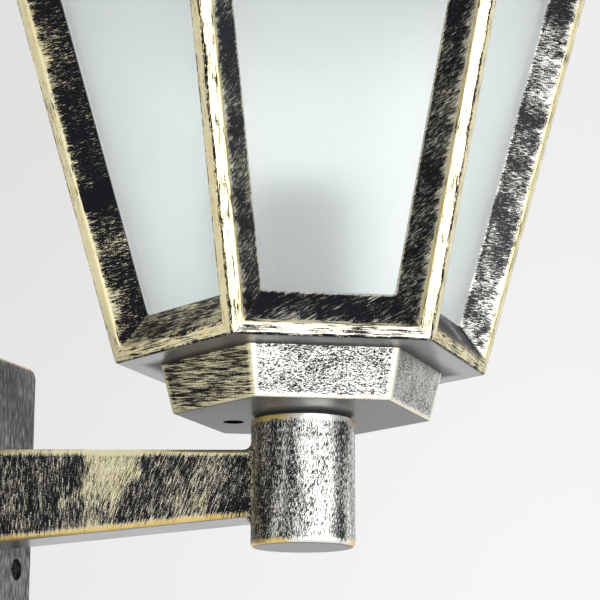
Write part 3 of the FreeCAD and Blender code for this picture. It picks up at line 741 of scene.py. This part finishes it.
@dataclass
class Arm:
    """The cast arm with its upright boss, and the seal on the boss. Millimetres."""

    reach: float = SixSides.reach
    level: float = 22.75
    wall_face: float = 20.0
    half_at_wall: float = 17.6
    half_at_axis: float = 10.7
    boss_radius: float = 18.0
    boss_low: float = 0.9
    boss_top: float = 44.6
    swath_start: float = 56.0
    swath_step: float = 11.0
    swath_end: tuple[float, float] = (77.0, 95.0)
    lit_band: float = 16.2
    dark_band: float = 8.3

    @property
    def taper(self) -> float:
        """How fast the arm's half height shrinks on its way from the wall."""
        return (self.half_at_wall - self.half_at_axis) / (self.reach - self.wall_face)

    def arm_cover(self, tree: FinishTree) -> tuple[Signal, Signal]:
        """Gold on the arm: solid edges, upright strokes and one broad slanted swath.

        Args:
            tree: The tree to add to.

        Returns:
            The share that the gold covers, and the strokes.
        """
        x, y, z = tree.millimetres()
        rise = z - self.level
        half = self.half_at_wall - (x - self.wall_face) * self.taper
        margin = half - abs(rise)
        edge = margin.falls(0.8, 3.2) * 0.85
        ragged = x + (tree.noise(x / 2.5, rise / 7.0, 2.0) - 0.5) * 14.0
        left_end = rise.rises(-5.0, 3.0) * self.swath_step + self.swath_start
        swath = (ragged - left_end).rises(-3.0, 5.0) * (ragged - rise * 0.33).falls(*self.swath_end)
        swath = swath * (rise.rises(-8.0, 6.0) * 0.48 + 0.22)
        slant = x - rise * 0.42
        mottled = slant.rises(84.0, 108.0) * slant.falls(116.0, 126.0) * 0.16
        root = (x - self.reach).rises(-26.0, -18.0) * rise.falls(-9.0, -3.0) * 0.4
        patches = (tree.noise(x / 7.0, rise / 22.0, y / 30.0) - 0.5) * 0.8
        cover = swath + mottled + edge + patches - root
        lean = x.rises(60.0, 86.0) * 0.40 + 0.02
        strokes = tree.bristles(x - rise * lean, rise, y / 9.0, 0.20, 3.2)
        return cover, strokes

    def boss_cover(self, tree: FinishTree) -> tuple[Signal, Signal]:
        """Gold on the boss: solid rims, upright strokes, more gold along its lit stripes as painted
        highlight and less in a dark band as painted shade.

        Args:
            tree: The tree to add to.

        Returns:
            The share that the gold covers, and the strokes.
        """
        x, y, z = tree.millimetres()
        round_it = tree.math("ARCTAN2", y, x - self.reach) * self.boss_radius
        rim = (self.boss_top - z).least(z - self.boss_low)
        patches = (tree.noise(round_it / 5.0, 7.0, z / 34.0) - 0.5) * 1.1
        # Painted highlight and painted shade: gold thickened along the lit stripes of the boss and thinned
        # in the dark band beside them.
        band = abs(round_it + self.lit_band).falls(4.0, 11.0) * 0.30
        band = band - abs(round_it + self.dark_band).falls(1.0, 3.4) * 0.10
        band = band + abs(round_it).falls(2.0, 6.0) * 0.32
        cover = 0.20 + band + rim.falls(0.6, 2.6) * 0.7 + patches
        strokes = tree.bristles(round_it - (z - self.level) * 0.16, z, 1.0, 0.19, 1.6)
        return cover, strokes

    def paint(self) -> bpy.types.Material:
        """Paint for the arm and its boss, with plain undersides, and a painted highlight on the boss's lit
        side and on the arm's thin gold.

        Returns:
            The material.
        """
        tree = FinishTree("antique_paint_arm")
        x, y, z = tree.millimetres()
        along = x - self.reach
        radius = tree.math("SQRT", along * along + y * y)
        on_boss = radius.falls(self.boss_radius + 0.4, self.boss_radius + 2.2)
        arm_cover, arm_strokes = self.arm_cover(tree)
        boss_cover, boss_strokes = self.boss_cover(tree)
        cover = arm_cover + (boss_cover - arm_cover) * on_boss
        strokes = arm_strokes + (boss_strokes - arm_strokes) * on_boss
        _, _, up = tree.facing()
        cover = cover - up.rises(0.75, 0.9) * 0.5
        under = tree.underside()
        rise = z - self.level
        half = self.half_at_wall - (x - self.wall_face) * self.taper
        low_edge = (rise + half).falls(0.5, 3.0)
        low_edge = low_edge + (half - rise).falls(0.4, 2.0) * x.rises(70.0, 110.0) * 0.5
        rims = (self.boss_top - z).least(z - self.boss_low).falls(1.0, 3.0)
        # Painted highlight: silver-white tint on the boss's lit side and where the arm's gold is thin.
        bright = (along - y).rises(0.0, 20.0)
        deep = low_edge + (rims * (along - y).falls(17.0, 23.0) - low_edge) * on_boss
        thin = arm_cover.falls(0.1, 0.5) * 0.45
        pale = (thin + (bright - thin) * on_boss) * (1.0 - deep)
        streaks = tree.noise(x / 24.0, y / 1.6, 3.0)
        lacquer = 0.36 + (0.12 + streaks * 0.76) * (1.0 - on_boss)
        return AntiquePaint().finish(tree, cover, strokes, under, deep * 0.8, lacquer=lacquer, pale=pale)

    def build(self, nodes: dict[str, bpy.types.Object]) -> None:
        """Dresses the arm and its seal."""
        dress(nodes, self.paint(), "arm")
        dress(nodes, Moulding.SEAL.finish("boss_seal_rubber"), "boss_seal")


@dataclass
class Collar:
    """The six-sided cup between the boss and the cage. Millimetres."""

    height: float = 17.0
    top_radius: float = 49.8
    bottom_radius: float = 45.3

    def paint(self) -> bpy.types.Material:
        """Paint with strokes along each side, gold corners, a painted highlight on the front and right
        faces and a plain underside.

        Returns:
            The material.
        """
        tree = FinishTree("antique_paint_collar")
        out, along, level, side = SixSides().fold(tree)
        taper = (self.top_radius - self.bottom_radius) / self.height
        corner = (self.top_radius + level * taper) / 2 - abs(along)
        foot = level + self.height
        front = Side.FRONT.mask(side)
        right = Side.RIGHT.mask(side)
        patches = (tree.noise(along / 13.0, level / 8.0, side * 3.7) - 0.5) * 0.7
        edge = corner.falls(0.3, 2.6).most(foot.falls(0.4, 2.0)) * 0.6
        skin_deep = self.top_radius * FLAT_SHARE + level * taper * 0.87 - out
        cover = 0.32 + front * 0.10 + right * 0.12 + patches + edge
        cover = cover - skin_deep.rises(0.8, 1.6) * 2.0
        long_strokes = tree.bristles(level + along * 0.10, along, side * 5.3, 0.26, 7.0)
        short_strokes = tree.bristles(level - along * 0.05, along, side * 2.3, 0.18, 0.9)
        short = front.most(right)
        strokes = long_strokes + (short_strokes - long_strokes) * short
        # The front and right faces get the silver-white tint of a painted highlight.
        return AntiquePaint().finish(tree, cover, strokes, tree.underside(), pale=short * (1.0 - edge))

    def build(self, nodes: dict[str, bpy.types.Object]) -> None:
        """Dresses the collar and its screws."""
        dress(nodes, self.paint(), "collar")
        dress(nodes, Metal.ZINC.finish("zinc_screws"), "collar_screws", "cage_screws")


@dataclass
class FaceSpot:
    """A point's place on its own face of the cage. Millimetres, apart from the side's number."""

    out: Signal
    depth: Signal
    along: Signal
    across: Signal
    corner: Signal
    side: Signal


@dataclass(frozen=True)
class CageFace:
    """One leaning face of the cage and its window. Millimetres."""

    base_radius: float = 65.5
    top_radius: float = 111.9
    height: float = 160.0
    depth: float = 10.0
    rim: float = 4.2
    post_bevel: float = 8.3
    sill_bevel: float = 10.0

    @property
    def flare(self) -> float:
        """Growth of the corner radius with height."""
        return (self.top_radius - self.base_radius) / self.height

    @property
    def lean(self) -> float:
        """Angle of the face from upright."""
        return math.atan(self.flare * FLAT_SHARE)

    @property
    def taper(self) -> float:
        """Growth of the face's half width along its own slope."""
        return self.flare * math.cos(self.lean) / 2

    def measure(self, tree: FinishTree) -> FaceSpot:
        """Finds a point's place on its own face.

        Args:
            tree: The tree to add to.

        Returns:
            Its way out from the lantern's axis, in from the face, along the slope, across
            from the middle and in from the nearer corner line, and the side's number.
        """
        out, across, level, side = SixSides().fold(tree)
        foot = self.base_radius * FLAT_SHARE
        sine, cosine = math.sin(self.lean), math.cos(self.lean)
        depth = (foot - out) * cosine + level * sine
        along = level * cosine + (out - foot) * sine
        corner = (self.base_radius / 2 + along * self.taper - abs(across)) / math.hypot(1, self.taper)
        return FaceSpot(out, depth, along, across, corner, side)


@dataclass
class RailSpot(FaceSpot):
    """A point's place on its post or sill as well, with masks of the faces in view."""

    on_sill: Signal
    right_hand: Signal
    on_rim: Signal
    run: Signal
    edge_in: Signal
    inward: Signal
    seed: Signal
    patches: Signal
    front: Signal
    right: Signal
    left: Signal


@dataclass
class Cage:
    """The cast cage: six leaning faces with a bevelled window in each. Millimetres."""

    face: CageFace = CageFace()
    bare_patch: float = 58.0
    # Where the painted shade on the underside next to the collar ends, out from the axis.
    collar_shade_edge: tuple[float, float] = (43.5, 51.0)

    def rail(self, tree: FinishTree, at: FaceSpot) -> RailSpot:
        """Finds a point's place on its post or sill.

        Args:
            tree: The tree to add to.
            at: Its place on its face.

        Returns:
            Its place on the rail, the rail's own seed and patches, and the faces' masks.
        """
        post = (at.corner - self.face.rim) / self.face.post_bevel
        sill = (at.along - self.face.rim) / self.face.sill_bevel
        on_sill = (sill - post).falls(-0.05, 0.05)
        right_hand = at.across.rises(-0.5, 0.5)
        seed = at.side * 4.3 + right_hand * (1.0 - on_sill) * 2.1
        run = at.along + (at.across - at.along) * on_sill
        return RailSpot(
            **vars(at),
            on_sill=on_sill,
            right_hand=right_hand,
            on_rim=at.depth.falls(0.5, 1.3),
            run=run,
            edge_in=at.corner + (at.along - at.corner) * on_sill,
            inward=at.depth / self.face.depth,
            seed=seed,
            patches=tree.noise(run / 13.0, at.depth / 12.0, seed + 9.0) - 0.5,
            front=Side.FRONT.mask(at.side),
            right=Side.RIGHT.mask(at.side),
            left=Side.LEFT.mask(at.side),
        )

    def strokes(self, tree: FinishTree, rail: RailSpot) -> Signal:
        """Brush marks over the bevels, along the sills in view and along the rims.

        Args:
            tree: The tree to add to.
            rail: The place on the post or sill.

        Returns:
            The strokes.
        """
        slope = (rail.right_hand * 2.0 - 1.0) * (rail.front * 0.75 + 0.15) * (1.0 - rail.on_sill)
        bevel = tree.bristles(rail.run + slope * rail.depth, rail.depth, rail.seed, 0.20, 1.7)
        level = rail.depth - rail.run * rail.front * 0.5
        sill = tree.bristles(level, rail.run, rail.seed + 6.0, 0.22, 4.0)
        bevel = bevel + (sill - bevel) * rail.on_sill * rail.left.most(rail.front)
        rim = tree.bristles(rail.edge_in, rail.run, rail.seed + 3.0, 0.34, 6.0)
        return bevel + (rim - bevel) * rail.on_rim

    def bevel_cover(self, tree: FinishTree, rail: RailSpot) -> Signal:
        """Gold on the bevels: a ragged fringe, a lip at the glass and one bare patch on the left.

        Args:
            tree: The tree to add to.
            rail: The place on the post or sill.

        Returns:
            The share that the gold covers.
        """
        lip = rail.inward.rises(0.90, 0.98) * (1.0 - rail.left)
        ragged = rail.inward + (tree.noise(rail.run / 2.4, rail.depth / 9.0, rail.seed + 1.0) - 0.5) * 0.6
        fringe = ragged.falls(0.0, 0.34) * (0.6 - rail.on_sill * 0.3) + lip * (0.5 + rail.front * 0.4)
        wander = (tree.noise(rail.along / 4.0, rail.depth / 3.0, 1.0) - 0.5) * 9.0
        patch = abs(rail.along - self.bare_patch + wander - rail.inward * 2.0)
        bare = patch.falls(2.8, 5.2) * rail.left * (1.0 - rail.right_hand)
        base = rail.right * 0.05 + 0.03 - rail.left * 0.06 - rail.on_sill * 0.08
        base = base + rail.on_sill * rail.left * 0.36
        return fringe + rail.patches * (rail.right * 0.9 + 1.3) + base - bare * 0.8

    def rim_cover(self, tree: FinishTree, rail: RailSpot) -> Signal:
        """Gold on the rims, worn off in dashes along their edges.

        Args:
            tree: The tree to add to.
            rail: The place on the post or sill.

        Returns:
            The share that the gold covers.
        """
        dashes = tree.noise(rail.run / 1.2, rail.edge_in / 0.6, rail.seed, 3.0).rises(0.38, 0.62)
        inner = rail.edge_in.rises(self.face.rim - 0.8, self.face.rim - 0.2) * rail.left * rail.right_hand
        worn = rail.edge_in.falls(0.2, 1.0).most(inner) * (dashes * 0.9 + 0.2)
        return 0.86 + rail.left * 0.14 - worn + rail.patches * 1.2 - rail.on_sill * 0.28

    def paint(self) -> bpy.types.Material:
        """Paint with gold rims, toothed strokes over the bevels, a painted highlight on the right and front
        faces, and a plain underside with painted shade next to the collar.

        Returns:
            The material.
        """
        tree = FinishTree("antique_paint_cage")
        face = self.face
        rail = self.rail(tree, face.measure(tree))
        bevel = self.bevel_cover(tree, rail)
        under = tree.underside()
        inside = rail.depth.rises(face.depth - 0.4, face.depth + 0.2)
        cover = bevel + (self.rim_cover(tree, rail) - bevel) * rail.on_rim
        cover = cover - inside * 3.0 - under * 3.0
        border = abs(rail.edge_in - face.rim / 2).rises(face.rim * 0.25, face.rim * 0.5) * (1.0 - rail.left)
        amber = tree.noise(rail.run / 12.0, rail.edge_in / 1.1, rail.seed).rises(0.35, 0.7)
        deep = rail.on_rim * (amber * 0.2 + border * 0.18)
        veil = 0.8 + rail.on_rim * (0.2 - border * rail.edge_in.rises(2.8, 3.6) * 0.35)
        # Painted shade: next to the collar the underside keeps less grey and no coat, so it reads darker.
        past_collar_shade = rail.out.rises(*self.collar_shade_edge)
        # Painted highlight: silver-white tint on the bevels of the right and front faces and on the front
        # sill.
        pale = (1.0 - rail.on_rim) * (rail.right * 0.9 + rail.front * 0.4)
        pale = pale + rail.front * rail.on_sill * (0.6 - border * 0.3)
        return AntiquePaint().finish(
            tree,
            cover,
            self.strokes(tree, rail),
            under=under * (past_collar_shade * 0.75 + 0.25),
            deep=deep,
            veil=veil,
            inside=inside * (1.0 - under),
            lacquer=past_collar_shade,
            pale=pale,
        )

    def build(self, nodes: dict[str, bpy.types.Object]) -> None:
        """Dresses the cage."""
        dress(nodes, self.paint(), "cage")


@dataclass
class Panes:
    """The six frosted panes with their clips. Millimetres."""

    face: CageFace = CageFace()
    border: float = 6.0
    names: tuple[str, ...] = (
        "pane_front",
        "pane_front_right",
        "pane_rear_right",
        "pane_rear",
        "pane_rear_left",
        "pane_front_left",
    )

    def glass(self) -> bpy.types.Material:
        """Frosted glass that is paler along its border.

        Returns:
            The material.
        """
        tree = FinishTree("frosted_glass")
        seen = self.face.measure(tree).corner - (self.face.rim + self.face.post_bevel)
        rim = seen.falls(self.border - 0.8, self.border)
        return FrostedGlass().finish(tree, rim, abs(seen - self.border).falls(0.1, 0.5))

    def build(self, nodes: dict[str, bpy.types.Object]) -> None:
        """Dresses the panes, clips and their screws."""
        dress(nodes, self.glass(), *self.names)
        dress(nodes, Metal.ZINC.finish("zinc_clips"), "pane_clips", "clip_screws")


@dataclass
class Lampholder:
    """The lampholder on its strap."""

    def build(self, nodes: dict[str, bpy.types.Object]) -> None:
        """Dresses the lampholder's pieces.

        Args:
            nodes: The frame's nodes by name.
        """
        dress(nodes, Moulding.HOLDER.finish("holder_moulding"), "holder_base", "holder_skirt")
        dress(nodes, Metal.BRASS.finish("contact_brass"), "screw_shell", "centre_contact")
        zinc = Metal.ZINC.finish("zinc_strap")
        dress(nodes, zinc, "holder_strap", "strap_screws", "holder_nipple", "holder_nut")


@dataclass
class Roof:
    """The hipped roof with its seal, bar, stud and finial. Millimetres."""

    eaves_radius: float = 116.2
    top_radius: float = 24.0
    eaves_level: float = 166.0
    rise: float = 44.0
    finial_level: float = 210.0
    inside_width: float = 94.0

    def paint(self) -> bpy.types.Material:
        """Paint with gold hips and eaves, and strokes down each slope.

        Returns:
            The material.
        """
        tree = FinishTree("antique_paint_roof")
        out, along, level, side = SixSides().fold(tree)
        shrink = (self.eaves_radius - self.top_radius) / self.rise
        radius = self.eaves_radius - (level - self.eaves_level).most(0.0) * shrink
        hip = radius / 2 - abs(along)
        eaves = abs(level - self.eaves_level)
        edge = hip.least(eaves * 1.6)
        patches = (tree.noise(along / 20.0, level / 16.0, side * 3.1) - 0.5) * 0.9
        cover = 0.08 + patches + edge.falls(0.6, 4.2) * 0.8
        strokes = tree.bristles(along, level, side * 4.7, 0.22, 1.6)
        _, _, up = tree.facing()
        inside = up.falls(-0.4, -0.2) * out.falls(self.inside_width - 1.0, self.inside_width)
        under = tree.underside() * (1.0 - inside)
        return AntiquePaint().finish(tree, cover - inside * 3.0, strokes, under, inside=inside)

    def finial_paint(self) -> bpy.types.Material:
        """Paint with strokes round the finial.

        Returns:
            The material.
        """
        tree = FinishTree("antique_paint_finial")
        x, y, z = tree.millimetres()
        turn = tree.math("ARCTAN2", y, x - SixSides().reach)
        level = z - SixSides().level - self.finial_level
        strokes = tree.bristles(turn * 11.0, level, 2.0)
        foot = abs(level - 2.5).falls(0.5, 2.5) * 0.5
        patches = (tree.grain(9.0) - 0.5) * 0.9
        return AntiquePaint().finish(tree, 0.30 + foot + patches, strokes)

    def build(self, nodes: dict[str, bpy.types.Object]) -> None:
        """Dresses the roof and what holds it down.

        Args:
            nodes: The frame's nodes by name.
        """
        dress(nodes, self.paint(), "roof")
        dress(nodes, self.finial_paint(), "finial")
        dress(nodes, Moulding.SEAL.finish("roof_seal_rubber"), "roof_seal")
        zinc = Metal.ZINC.finish("zinc_roof_bar")
        dress(nodes, zinc, "roof_bar", "bar_screws", "roof_stud", "stud_nuts")


class SoftLight(Enum):
    """The broad far lights: direction round the lantern in degrees, and watts per square metre."""

    REAR = (180.0, 1.6)
    LEFT = (-75.0, 0.6)
    RIGHT = (110.0, 1.15)
    FRONT = (20.0, 0.8)


@dataclass
class Studio:
    """The pale floor, the soft light and the camera of the photograph. Metres and degrees."""

    floor_level: float = -0.30
    floor_size: float = 12.0
    floor_tones: tuple[Colour, Colour] = ((0.80, 0.80, 0.795), (0.84, 0.84, 0.835))
    camera_place: tuple[float, float, float] = (0.3878, -0.6491, -0.0699)
    camera_pitch: float = 102.84
    camera_turn: float = 20.515
    lens: float = 121.04
    target: tuple[float, float, float] = (0.146, 0.0, 0.060)
    lamp_distance: float = 1.3
    key_side: float = 54.0
    key_size: tuple[float, float] = (1.50, 0.80)
    key_power: float = 15.0
    soft_height: float = 5.0
    soft_width: float = 16.0
    shaded_side: Colour = (0.735, 0.735, 0.72)
    bright_side: Colour = (0.925, 0.925, 0.925)
    plain_light: Colour = (1.0, 1.0, 1.0)
    dim_side: Colour = (0.66, 0.66, 0.66)

    def camera(self) -> None:
        """Places the camera low in front of the lantern."""
        data = bpy.data.cameras.new("view")
        data.lens = self.lens
        data.clip_start = 0.01
        camera = bpy.data.objects.new("view", data)
        camera.location = self.camera_place
        camera.rotation_euler = (math.radians(self.camera_pitch), 0.0, math.radians(self.camera_turn))
        bpy.context.scene.collection.objects.link(camera)
        bpy.context.scene.camera = camera

    def aim(self, data: bpy.types.Light, azimuth: float, height: float) -> bpy.types.Object:
        """Sets a lamp up so that it faces the lantern.

        Args:
            data: The lamp's own settings.
            azimuth: Its direction from the lantern, in degrees, nought towards −Y, the front, and growing
                towards +X.
            height: Its angle above the lantern, in degrees.

        Returns:
            The lamp, which the camera doesn't see.
        """
        turn, lift = math.radians(azimuth), math.radians(height)
        back = Vector((math.sin(turn) * math.cos(lift), -math.cos(turn) * math.cos(lift), math.sin(lift)))
        lamp = bpy.data.objects.new(data.name, data)
        lamp.location = Vector(self.target) + back * self.lamp_distance
        lamp.rotation_euler = back.to_track_quat("Z", "Y").to_euler()
        lamp.visible_camera = False
        bpy.context.scene.collection.objects.link(lamp)
        return lamp

    def key(self) -> None:
        """Adds the wide softbox on the right that the metal mirrors."""
        data = bpy.data.lights.new("key_softbox", "AREA")
        data.shape = "RECTANGLE"
        data.size, data.size_y = self.key_size
        data.energy = self.key_power
        lamp = self.aim(data, self.key_side, 0.0)
        lamp.visible_diffuse = False
        lamp.visible_transmission = False

    def soft_light(self, light: SoftLight) -> None:
        """Adds a broad far light, low over the floor, that metal doesn't mirror.

        Args:
            light: Which of the lights it is.
        """
        azimuth, strength = light.value
        data = bpy.data.lights.new(light.name.lower() + "_light", "SUN")
        data.energy = strength
        data.angle = math.radians(self.soft_width)
        self.aim(data, azimuth, self.soft_height).visible_glossy = False

    def world(self) -> None:
        """Pale surroundings, brighter to the right, seen by the camera, metal and glass."""
        world = bpy.data.worlds.new("surroundings")
        world.use_nodes = True
        bpy.context.scene.world = world
        bench = NodeBench(world.node_tree)
        rays = bench.node("ShaderNodeLightPath").outputs
        camera, glossy, through = (
            Signal(bench, rays[kind])
            for kind in ("Is Camera Ray", "Is Glossy Ray", "Is Transmission Ray")
        )
        heading = bench.node("ShaderNodeTexCoord").outputs["Generated"]
        x, y, z = bench.split(heading, 1.0)
        turn = math.radians(self.camera_turn)
        rightward = x * math.cos(turn) + y * math.sin(turn)
        shade = rightward.rises(-0.22, 0.14) * 0.6 + z.falls(0.06, 0.36) * 0.4
        backdrop = bench.blend(shade, self.shaded_side, self.bright_side)
        mirrored = bench.blend(rightward.rises(-1.1, 0.1), self.dim_side, self.bright_side)
        around = bench.blend(through, self.plain_light, self.bright_side)
        around = bench.blend(glossy, around, mirrored)
        shown = bench.node("ShaderNodeBackground", sockets={"Color": bench.blend(camera, around, backdrop)})
        bench.node("ShaderNodeOutputWorld", sockets={"Surface": shown.outputs[0]})

    def floor(self) -> None:
        """Lays a plain pale floor under the lantern."""
        bpy.ops.object.select_all(action="DESELECT")
        bpy.ops.mesh.primitive_plane_add(size=self.floor_size, location=(0.0, 0.0, self.floor_level))
        floor = bpy.context.object
        floor.name = "floor"
        tree = FinishTree("pale_floor")
        colour = tree.blend(tree.grain(400.0), *self.floor_tones)
        matt = {"Base Color": colour, "Roughness": 0.9, "Specular IOR Level": 0.0}
        floor.data.materials.append(tree.close(matt))

    def build(self) -> None:
        """Sets the studio up."""
        self.camera()
        self.world()
        self.floor()
        self.key()
        for light in SoftLight:
            self.soft_light(light)
        bpy.context.scene.view_settings.view_transform = "Standard"


def main() -> None:
    """Builds the lantern's classes in order and sets up the studio."""
    logging.basicConfig(level=logging.INFO, format="%(message)s")
    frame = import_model()
    for assembly in (WallPlate(), Arm(), Collar(), Cage(), Panes(), Lampholder(), Roof()):
        assembly.build(frame["nodes"])
    Studio().build()


if __name__ == "__main__":
    main()
